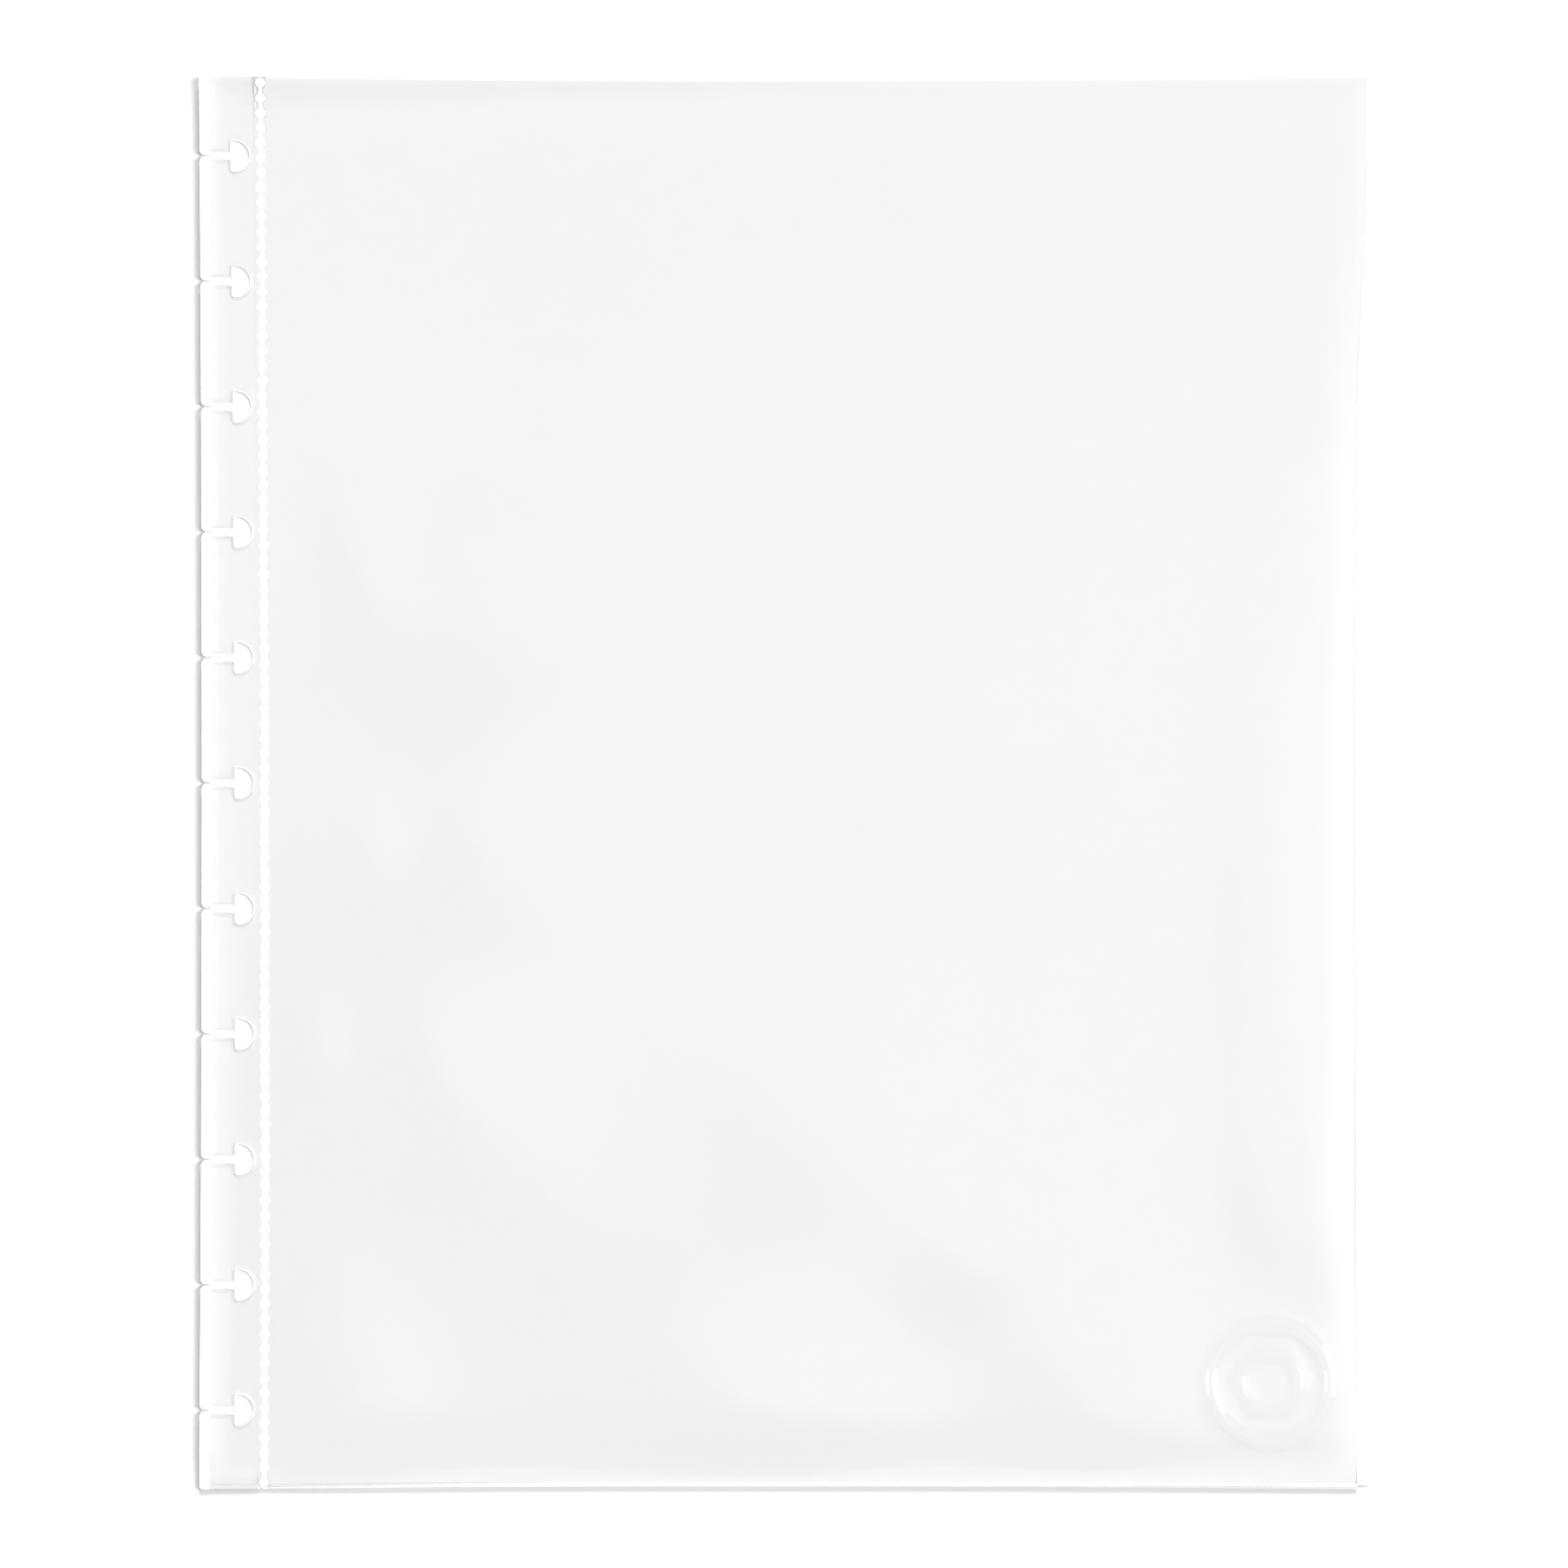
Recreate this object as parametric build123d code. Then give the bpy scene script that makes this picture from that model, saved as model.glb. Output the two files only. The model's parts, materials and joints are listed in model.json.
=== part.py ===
"""Clear top-loading page pocket for a disc-bound notebook, lying flat, in millimetres.

The binding margin is on the left (-X), the mouth of the pocket is at the top (+Y) and the sheet lies
on Z = 0. The origin is under the middle of the sheet.

Two clear films lie on each other. Heat welds join them along the binding edge, along a beaded seam
beside the punched margin, along the outer edge and along the bottom. The top stays open. The films
bend at the beaded seam, so each is made in two panels that meet the seam from either side.
"""

import os

from build123d import *

# Paper that the pocket takes, and the room round it
paper_width = 215.9
paper_height = 279.4
side_ease = 4.75
head_ease = 5.6

# Film
film = 0.12
air_gap = 0.10
joint_clearance = 0.15

# Mushroom-shaped slots that snap over the binding discs
slot_pitch = 25.4
slot_end_land = 12.7
stem_width = 1.6
stem_length = 6.7
head_width = 6.2
head_depth = 3.7
head_straight = 0.6
head_corner_radius = 0.45
lip_radius = 1.1
slot_to_seam = 1.25

# Heat welds
edge_weld_width = 2.0
edge_corner_radius = 0.7
seam_width = 2.1
bead_radius = 1.0
bead_sides = 8
bead_rise = 0.22
bead_taper = 48
bead_pitch = 3.0
bead_end_land = 1.25
outer_weld_width = 2.1
bottom_weld_height = 1.0
bottom_lip_height = 0.45
corner_notch_height = 0.9

# Mouth of the front film
mouth_step = 0.3
mouth_dip = 0.7

# Round pressing in the front film
pressing_from_outer_edge = 19.5
pressing_from_bottom = 21.7
outer_ring_radius = 13.6
outer_ring_width = 3.0
inner_ring_radius = 6.5
inner_ring_width = 1.3
ring_rise = 0.35
ring_flank = 0.45

# Sizes that follow
pocket_width = paper_width + side_ease
margin_width = stem_length + head_depth + slot_to_seam
sheet_width = margin_width + seam_width + pocket_width + outer_weld_width
sheet_height = bottom_weld_height + paper_height + head_ease
sheet_thickness = 2 * film + air_gap
front_level = film + air_gap

# Lines across the sheet
binding_edge = -sheet_width / 2
margin_end = binding_edge + margin_width
seam_line = margin_end + seam_width / 2
pocket_start = margin_end + seam_width + joint_clearance
outer_weld_start = sheet_width / 2 - outer_weld_width
outer_edge = sheet_width / 2
bottom_edge = -sheet_height / 2
pocket_bottom = bottom_edge + bottom_weld_height
top_edge = sheet_height / 2

slot_count = int((sheet_height - 2 * slot_end_land) / slot_pitch) + 1
slot_levels = [(index - (slot_count - 1) / 2) * slot_pitch for index in range(slot_count)]


def panel(left, bottom, right, top):
    """A flat rectangle between two corners."""
    return Pos((left + right) / 2, (bottom + top) / 2) * Rectangle(right - left, top - bottom)


def slot_outline():
    """One mushroom slot: mouth at the origin with rounded lips, stem and head along +X."""
    half_stem = stem_width / 2
    half_head = head_width / 2
    stem = panel(0, -half_stem, stem_length, half_stem)

    shoulder = stem_length + head_straight
    crown = stem_length + head_depth
    upper = [(shoulder, half_head), (stem_length, half_head)]
    lower = [(x, -y) for x, y in reversed(upper)]
    head = make_face(Polyline(*upper, *lower) + ThreePointArc(lower[-1], (crown, 0), upper[0]))
    flat_side = head.vertices().group_by(Axis.X)[0]
    head = fillet(flat_side, head_corner_radius)

    flare = half_stem + lip_radius
    mouth = make_face(
        Line((0, -flare), (0, flare))
        + RadiusArc((0, flare), (lip_radius, half_stem), lip_radius)
        + Line((lip_radius, half_stem), (lip_radius, -half_stem))
        + RadiusArc((lip_radius, -half_stem), (0, -flare), lip_radius)
    )
    return stem + head + mouth


def tabs(left, right):
    """Outlines of the tabs between two lines, each from the middle of one slot to the middle of the next."""
    outline = slot_outline()
    punched = [Pos(binding_edge, level) * outline for level in slot_levels]
    ends = [bottom_edge, *slot_levels, top_edge]
    return [panel(left, low, right, high) - punched for low, high in zip(ends, ends[1:])]


def margin_film(level):
    """One film of the binding margin, tab by tab, with its underside at a level."""
    outlines = tabs(binding_edge + edge_weld_width, margin_end)
    return Compound([Pos(0, 0, level) * extrude(outline, film).solid() for outline in outlines])


def binding_edge_weld():
    """The welded binding edge: one short band with rounded lips for each tab, rounded off at both ends."""
    outlines = tabs(binding_edge, binding_edge + edge_weld_width)
    for index, end in ((0, bottom_edge), (-1, top_edge)):
        corner = outlines[index].vertices().sort_by_distance((binding_edge, end))[0]
        outlines[index] = fillet(corner, edge_corner_radius)
    return Compound([extrude(outline, sheet_thickness).solid() for outline in outlines])


def seam_weld():
    """The seam between margin and pocket: a fused band with a row of raised beads on it."""
    band = extrude(panel(margin_end, bottom_edge, margin_end + seam_width, top_edge), sheet_thickness)
    bead = extrude(RegularPolygon(bead_radius, bead_sides), bead_rise, taper=bead_taper)
    run = sheet_height - 2 * bead_end_land
    gaps = round(run / bead_pitch)
    first = bottom_edge + bead_end_land
    beads = [Pos(seam_line, first + index * run / gaps, sheet_thickness) * bead for index in range(gaps + 1)]
    return band + beads


def pocket_back_film():
    """The back film of the pocket, from the seam to the outer weld."""
    return extrude(panel(pocket_start, pocket_bottom, outer_weld_start, top_edge), film)


def ring_section(radius, width):
    """Half section of a ring pressed up out of the film, beside the Z axis."""
    inner = radius - width
    rise = front_level + ring_rise
    return Polyline(
        (inner, front_level),
        (inner, front_level + film),
        (inner + ring_flank, rise + film),
        (radius - ring_flank, rise + film),
        (radius, front_level + film),
        (radius, front_level),
        (radius - ring_flank, rise),
        (inner + ring_flank, rise),
        close=True,
    )


def pocket_front_film():
    """The front film: free at the mouth, which dips in the middle, with two rings pressed into it."""
    left = pocket_start
    right = outer_weld_start - joint_clearance
    bottom = pocket_bottom + joint_clearance
    side_top = top_edge - mouth_step
    outline = make_face(
        Polyline((left, side_top), (left, bottom), (right, bottom), (right, side_top))
        + ThreePointArc((right, side_top), ((left + right) / 2, side_top - mouth_dip), (left, side_top))
    )
    centre = Pos(outer_edge - pressing_from_outer_edge, bottom_edge + pressing_from_bottom)
    rings = []
    for radius, width in ((outer_ring_radius, outer_ring_width), (inner_ring_radius, inner_ring_width)):
        outline -= centre * (Circle(radius) - Circle(radius - width))
        rings.append(centre * revolve(Plane.XZ * make_face(ring_section(radius, width)), Axis.Z))
    flat = Pos(0, 0, front_level) * extrude(outline, film)
    return flat + rings


def outer_edge_weld():
    """The weld down the outer edge, cut short at the bottom corner."""
    bottom = bottom_edge + corner_notch_height
    return extrude(panel(outer_weld_start, bottom, outer_edge, top_edge), sheet_thickness)


def bottom_weld():
    """The weld along the bottom, with a thin lip of film left below it."""
    weld = extrude(
        panel(pocket_start, bottom_edge + bottom_lip_height, outer_weld_start, pocket_bottom), sheet_thickness
    )
    lip = extrude(panel(pocket_start, bottom_edge, outer_weld_start, bottom_edge + bottom_lip_height), film)
    return weld + lip


pieces = {
    "margin_back_film": margin_film(0),
    "margin_front_film": margin_film(front_level),
    "binding_edge_weld": binding_edge_weld(),
    "seam_weld": seam_weld(),
    "pocket_back_film": pocket_back_film(),
    "pocket_front_film": pocket_front_film(),
    "outer_edge_weld": outer_edge_weld(),
    "bottom_weld": bottom_weld(),
}

os.makedirs("parts", exist_ok=True)
for name, piece in pieces.items():
    export_step(piece, f"parts/{name}.step")
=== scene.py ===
"""Looks of a clear page pocket for a disc-bound notebook, lying flat on a pale floor.

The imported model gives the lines, levels and joints. Two clear films, whitened where heat has fused them,
stand for its plain solids, with the curl, the waves and the pressed rings of the real sheet. Sizes here are
in millimetres, and become metres where a mesh is made.
"""

import json
import logging
import math
from dataclasses import dataclass, field, replace
from enum import Enum
from typing import Callable, Sequence

import bpy
import numpy as np
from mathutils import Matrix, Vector
from mathutils.geometry import delaunay_2d_cdt


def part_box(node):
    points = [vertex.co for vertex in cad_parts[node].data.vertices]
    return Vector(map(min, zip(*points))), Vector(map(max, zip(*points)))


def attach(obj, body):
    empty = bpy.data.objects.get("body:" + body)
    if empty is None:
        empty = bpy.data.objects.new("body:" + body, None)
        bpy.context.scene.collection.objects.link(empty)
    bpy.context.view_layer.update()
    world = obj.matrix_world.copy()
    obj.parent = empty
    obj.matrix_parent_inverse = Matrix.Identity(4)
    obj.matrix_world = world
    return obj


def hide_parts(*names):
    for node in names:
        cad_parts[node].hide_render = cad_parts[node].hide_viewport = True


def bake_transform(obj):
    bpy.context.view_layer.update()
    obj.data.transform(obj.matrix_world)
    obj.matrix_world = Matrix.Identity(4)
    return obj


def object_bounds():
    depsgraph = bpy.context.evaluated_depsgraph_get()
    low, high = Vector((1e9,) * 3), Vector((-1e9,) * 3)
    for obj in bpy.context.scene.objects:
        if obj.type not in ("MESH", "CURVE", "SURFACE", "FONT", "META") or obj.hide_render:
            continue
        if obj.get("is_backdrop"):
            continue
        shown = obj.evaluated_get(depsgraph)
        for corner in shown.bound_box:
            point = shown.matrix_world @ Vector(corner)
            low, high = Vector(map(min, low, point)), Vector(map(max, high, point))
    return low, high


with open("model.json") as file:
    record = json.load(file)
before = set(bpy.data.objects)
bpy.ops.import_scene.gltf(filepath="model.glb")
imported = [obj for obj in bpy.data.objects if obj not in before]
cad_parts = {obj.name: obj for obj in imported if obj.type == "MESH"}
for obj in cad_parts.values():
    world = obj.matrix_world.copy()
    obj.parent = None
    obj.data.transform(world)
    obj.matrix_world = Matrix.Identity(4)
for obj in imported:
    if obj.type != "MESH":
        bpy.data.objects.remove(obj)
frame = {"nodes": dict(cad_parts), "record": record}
cad_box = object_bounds()

MM = 0.001
WHITENING = "whitening"
WHITE = (1.0, 1.0, 1.0, 1.0)
# The beads reach this far past the flat band of the seam
BEAD_OVERHANG = 0.2
# Distances are worked out for about this many places at one time
CHUNK = 200

log = logging.getLogger("page_pocket")

Array = np.ndarray
Heights = Callable[[Array, Array], Array]
Points = list[tuple[float, float]]
Socket = bpy.types.NodeSocket


class Body(Enum):
    """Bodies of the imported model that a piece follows."""

    MARGIN = "binding_margin"
    POCKET = "pocket"
    FRONT = "front_panel"


class Slot(Enum):
    """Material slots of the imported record."""

    CLEAR = "clear_film"
    WELDED = "welded_film"


class Axis(Enum):
    """Directions across and along the flat sheet."""

    ACROSS = 0
    ALONG = 1


class Skin(Enum):
    """The two skins of a thin piece."""

    LOWER = 0
    UPPER = 1


class Side(Enum):
    """The two halves of the front film."""

    LEFT = "left"
    RIGHT = "right"


def smooth(value: Array, start: float, end: float) -> Array:
    """Smooth step of a value.

    Args:
        value: Numbers to map.
        start: Where the step is 0.
        end: Where the step is 1.

    Returns:
        The step at each number, from 0 to 1.
    """
    share = np.clip((value - start) / (end - start), 0.0, 1.0)
    return share * share * (3.0 - 2.0 * share)


def fast_start(share: Array) -> Array:
    """A step from 0 to 1 that starts fast and ends slowly."""
    return 1.0 - (1.0 - share) ** 3


def between(start: float, end: float, share: Array) -> Array:
    """Numbers that lie a share of the way from a start to an end."""
    return start + (end - start) * share


def spaced(start: float, end: float, step: float) -> Array:
    """Even lines from a start to an end, both included, about a step apart."""
    return np.linspace(start, end, round((end - start) / step) + 1)


def arc(centre: Sequence[float], radius: float, start: float, end: float, steps: int) -> Points:
    """Points along an arc.

    Args:
        centre: Middle of the arc.
        radius: Its radius.
        start: First angle, in degrees.
        end: Last angle, in degrees.
        steps: Number of chords.

    Returns:
        The points from start to end, both included.
    """
    angles = np.radians(np.linspace(start, end, steps + 1))
    return [(centre[0] + radius * math.cos(a), centre[1] + radius * math.sin(a)) for a in angles]


def along(start: Sequence[float], end: Sequence[float], spacing: float) -> Points:
    """Evenly spaced points on a straight line, without its last point.

    Args:
        start: First point.
        end: Last point, which is left out.
        spacing: Longest step between points.

    Returns:
        The points.
    """
    steps = max(1, math.ceil(math.dist(start, end) / spacing))
    shares = np.arange(steps) / steps
    return [(start[0] + s * (end[0] - start[0]), start[1] + s * (end[1] - start[1])) for s in shares]


def inside(points: Array, outline: Array) -> Array:
    """Which points lie inside an outline.

    Args:
        points: Points to test, one row each.
        outline: Closed outline, one row for each corner.

    Returns:
        True for each point inside.
    """
    x, y = points[:, 0][:, None], points[:, 1][:, None]
    x0, y0 = outline[:, 0], outline[:, 1]
    x1, y1 = np.roll(x0, -1), np.roll(y0, -1)
    rises = (y0 > y) != (y1 > y)
    slope = (x1 - x0) / np.where(y1 == y0, 1.0, y1 - y0)
    return (rises & (x < x0 + (y - y0) * slope)).sum(axis=1) % 2 == 1


def nearest(points: Array, others: Array) -> Array:
    """Distance of each point from the nearest of some others.

    Args:
        points: Points to measure from, one row each.
        others: Points to measure to.

    Returns:
        The distance of each point.
    """
    chunks = np.array_split(points, max(1, len(points) // CHUNK))
    return np.concatenate(
        [np.sqrt(((chunk[:, None, :] - others[None, :, :]) ** 2).sum(axis=2).min(axis=1)) for chunk in chunks]
    )


def clear_of(points: Array, others: Array, gap: float) -> Array:
    """The points that keep a gap from all others."""
    return points[nearest(points, others) > gap]


def grid(left: float, bottom: float, right: float, top: float, spacing: float) -> Array:
    """Points of an even grid, rows shifted by half a step, inside a rectangle.

    Args:
        left: Left side.
        bottom: Bottom side.
        right: Right side.
        top: Top side.
        spacing: Step of the grid.

    Returns:
        The points, one row each.
    """
    rows = np.arange(bottom + spacing / 2, top, spacing * math.sqrt(0.75))
    lines = []
    for index, y in enumerate(rows):
        x = np.arange(left + spacing * (0.5 + 0.5 * (index % 2)), right, spacing)
        lines.append(np.column_stack([x, np.full(len(x), y)]))
    return np.concatenate(lines)


def put_in_scene(name: str, data: bpy.types.ID) -> bpy.types.Object:
    """Puts a new object into the scene.

    Args:
        name: Its name.
        data: Its mesh, lamp or camera.

    Returns:
        The object.
    """
    made = bpy.data.objects.new(name, data)
    bpy.context.scene.collection.objects.link(made)
    return made


def evenly(value: float) -> Heights:
    """A number that is the same all over."""
    return lambda x, y: np.full(len(x), value)


@dataclass(frozen=True)
class SheetLines:
    """Lines and levels of the sheet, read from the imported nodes, in millimetres."""

    binding_edge: float
    edge_weld_end: float
    margin_end: float
    seam_end: float
    outer_weld_start: float
    outer_edge: float
    bottom_edge: float
    pocket_bottom: float
    outer_weld_bottom: float
    top_edge: float
    film: float
    front_level: float
    thickness: float
    seam_top: float
    slot_levels: tuple[float, ...]

    @classmethod
    def from_frame(cls) -> "SheetLines":
        """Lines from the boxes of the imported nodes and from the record's slot row.

        Returns:
            The sheet's lines.
        """
        boxes = {name: [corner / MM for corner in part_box(name)] for name in frame["nodes"]}
        row = next(m for m in frame["record"]["mounts"] if m["name"] == "disc_slot_row")["dims"]
        middle = (row["count"] - 1) / 2
        return cls(
            binding_edge=boxes["binding_edge_weld"][0].x,
            edge_weld_end=boxes["binding_edge_weld"][1].x,
            margin_end=boxes["margin_back_film"][1].x - BEAD_OVERHANG,
            seam_end=boxes["seam_weld"][1].x + BEAD_OVERHANG,
            outer_weld_start=boxes["outer_edge_weld"][0].x,
            outer_edge=boxes["outer_edge_weld"][1].x,
            bottom_edge=boxes["seam_weld"][0].y,
            pocket_bottom=boxes["bottom_weld"][1].y,
            outer_weld_bottom=boxes["outer_edge_weld"][0].y,
            top_edge=boxes["seam_weld"][1].y,
            film=boxes["margin_back_film"][1].z,
            front_level=boxes["margin_front_film"][0].z,
            thickness=boxes["binding_edge_weld"][1].z,
            seam_top=boxes["seam_weld"][1].z,
            slot_levels=tuple((index - middle) * row["spacing_y_mm"] for index in range(row["count"])),
        )

    @property
    def pocket_middle(self) -> float:
        """The line half way across the pocket."""
        return (self.seam_end + self.outer_weld_start) / 2


@dataclass(frozen=True)
class Swell:
    """A soft rise of a film over an oval patch, steeper on one side if its two half widths differ."""

    x: float
    y: float
    left: float
    right: float
    half_length: float
    rise: float
    turn: float = 0.0

    def height(self, x: Array, y: Array) -> Array:
        """Height of the rise.

        Args:
            x: Places across the sheet.
            y: Places along the sheet.

        Returns:
            The height at each place.
        """
        angle = math.radians(self.turn)
        across = (x - self.x) * math.cos(angle) + (y - self.y) * math.sin(angle)
        lengthwise = (y - self.y) * math.cos(angle) - (x - self.x) * math.sin(angle)
        share = across / np.where(across < 0, self.left, self.right)
        return self.rise * np.exp(-(share**2) - (lengthwise / self.half_length) ** 2)


@dataclass(frozen=True)
class PressedRing:
    """A ring pressed up out of the front film."""

    radius: float
    width: float
    rise: float

    def height(self, distance: Array) -> Array:
        """Height of the ring at distances from its middle."""
        share = (distance - self.radius + self.width / 2) / (self.width / 2)
        return self.rise * np.clip(1.0 - share**2, 0.0, None) ** 2


@dataclass(frozen=True)
class SheetLie:
    """How the sheet lies: curled edges, edges that bow in a little, and slow waves in its films."""

    lines: SheetLines
    left_curl: float = 1.1
    left_reach: float = 1.6
    corner_share: float = 0.6
    corner_ease: float = 8.0
    bottom_curl: float = 0.5
    bottom_reach: float = 1.6
    top_curl: float = 0.42
    top_reach: float = 4.0
    row_skew: float = 0.45
    row_reach: float = 7.0
    outer_rise: float = 0.3
    outer_reach: float = 8.0
    outer_calm: float = 0.85
    calming: tuple[float, float] = (40.0, 125.0)
    left_bow: float = 0.55
    right_bow: float = 0.45
    bottom_bow: float = 0.55
    top_bow: float = 0.15
    bow_reach: float = 60.0
    pillow: float = 0.05
    seam_fade: float = 13.0
    outer_fade: float = 7.0
    bottom_fade: float = 12.0
    bottom_rest: float = 4.0
    back_swells: tuple[Swell, ...] = (
        Swell(-90, -134, 16, 22, 36, 0.62, 8),
        Swell(-68, -66, 13, 22, 22, 0.42, 6),
        Swell(-6, -130, 24, 28, 20, 0.42),
        Swell(64, -122, 20, 20, 26, 0.42),
        Swell(12, -66, 30, 36, 26, 0.50, -10),
        Swell(-56, 32, 26, 40, 20, 0.45, 10),
        Swell(-60, -14, 12, 26, 22, 0.30, -24),
        Swell(-84, -16, 5, 8, 12, 0.09),
        Swell(98, -20, 10, 14, 66, 0.42),
        Swell(36, 10, 30, 50, 36, 0.55),
        Swell(-86, 48, 6, 10, 18, 0.16, 8),
        Swell(-62, 50, 9, 14, 9, 0.18, -25),
        Swell(108, -84, 16, 8, 20, 0.40),
        Swell(-38, 76, 16, 30, 30, 0.22, 18),
        Swell(40, -96, 16, 24, 12, 0.30, 30),
        Swell(-98, -58, 6, 10, 12, 0.16),
        Swell(-38, -127, 8, 70, 52, 0.3, 90),
    )
    front_swells: tuple[Swell, ...] = (
        Swell(-40, -92, 16, 30, 14, 0.25, 20),
        Swell(20, -100, 40, 50, 30, 0.25, 15),
        Swell(60, 100, 40, 40, 24, 0.35, -24),
        Swell(-20, 90, 50, 50, 30, 0.25, 10),
        Swell(100, 62, 14, 10, 10, 0.30),
    )

    def shift(self, x: Array, y: Array) -> tuple[Array, Array]:
        """Places on the lying sheet for places on the flat one.

        Args:
            x: Places across the flat sheet.
            y: Places along the flat sheet.

        Returns:
            The places across and along the lying sheet.
        """
        lines = self.lines
        side = 1.0 - (y / lines.top_edge) ** 2
        end = 1.0 - (x / lines.outer_edge) ** 2
        right = self.left_bow * smooth(x, lines.binding_edge + self.bow_reach, lines.binding_edge)
        left = self.right_bow * smooth(x, lines.outer_edge - self.bow_reach, lines.outer_edge)
        up = self.bottom_bow * smooth(y, lines.bottom_edge + self.bow_reach, lines.bottom_edge)
        down = self.top_bow * smooth(y, lines.top_edge - self.bow_reach, lines.top_edge)
        skew = smooth(x, lines.binding_edge, lines.binding_edge + self.row_reach)
        skew = skew * smooth(x, lines.seam_end + self.bow_reach, lines.seam_end)
        across = x + side * (right - left) - self.row_skew * skew * y / lines.top_edge
        return across, y + end * (up - down)

    def back(self, x: Array, y: Array) -> Array:
        """Height of the underside of the sheet.

        Args:
            x: Places across the sheet.
            y: Places along the sheet.

        Returns:
            The height at each place.
        """
        lines = self.lines
        eased = smooth(y, lines.bottom_edge, lines.bottom_edge + self.corner_ease)
        left = self.left_curl * between(self.corner_share, 1.0, eased)
        left = left * np.exp((lines.binding_edge - x) / self.left_reach)
        bottom = self.bottom_curl * np.exp((lines.bottom_edge - y) / self.bottom_reach)
        height = np.hypot(left, bottom) + self.top_curl * np.exp((y - lines.top_edge) / self.top_reach)
        waves = sum(swell.height(x, y) for swell in self.back_swells)
        calm_start = lines.outer_weld_start - self.outer_fade
        waves = waves * smooth(x, lines.outer_edge + self.outer_fade, calm_start)
        from_weld = np.clip((lines.outer_weld_start - x) / self.outer_reach, 0.0, 1.0)
        slope = self.outer_rise * fast_start(from_weld)
        slope = slope * smooth(x, lines.seam_end, lines.pocket_middle)
        slope = slope * (1.0 - self.outer_calm * smooth(y, *self.calming))
        held = smooth(x, lines.margin_end, lines.margin_end + self.seam_fade)
        held = held * smooth(y, lines.bottom_edge - self.bottom_rest, lines.bottom_edge + self.bottom_fade)
        return height + (waves + slope) * held

    def front(self, x: Array, y: Array) -> Array:
        """Height that the front film stands above its place on the back film.

        Args:
            x: Places across the sheet.
            y: Places along the sheet.

        Returns:
            The height at each place, 0 along the welds.
        """
        lines = self.lines
        height = self.pillow + sum(swell.height(x, y) for swell in self.front_swells)
        height = height * smooth(x, lines.seam_end, lines.seam_end + self.seam_fade)
        from_weld = np.clip((lines.outer_weld_start - x) / self.outer_fade, 0.0, 1.0)
        height = height * fast_start(from_weld)
        return height * smooth(y, lines.pocket_bottom, lines.pocket_bottom + self.bottom_fade)


@dataclass(frozen=True)
class Join:
    """A straight line on the flat sheet where a film runs on from one piece into the next."""

    axis: Axis
    place: float
    tolerance: float = 0.001

    def meets(self, flat: Array) -> Array:
        """Which points lie on the line."""
        return np.abs(flat[:, self.axis.value] - self.place) < self.tolerance


def joins_at(across: Sequence[float], lengthwise: Sequence[float] = ()) -> list[Join]:
    """Joins on lines at places across the sheet and at places along it."""
    return [Join(axis, place) for axis, places in zip(Axis, (across, lengthwise)) for place in places]


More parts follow.
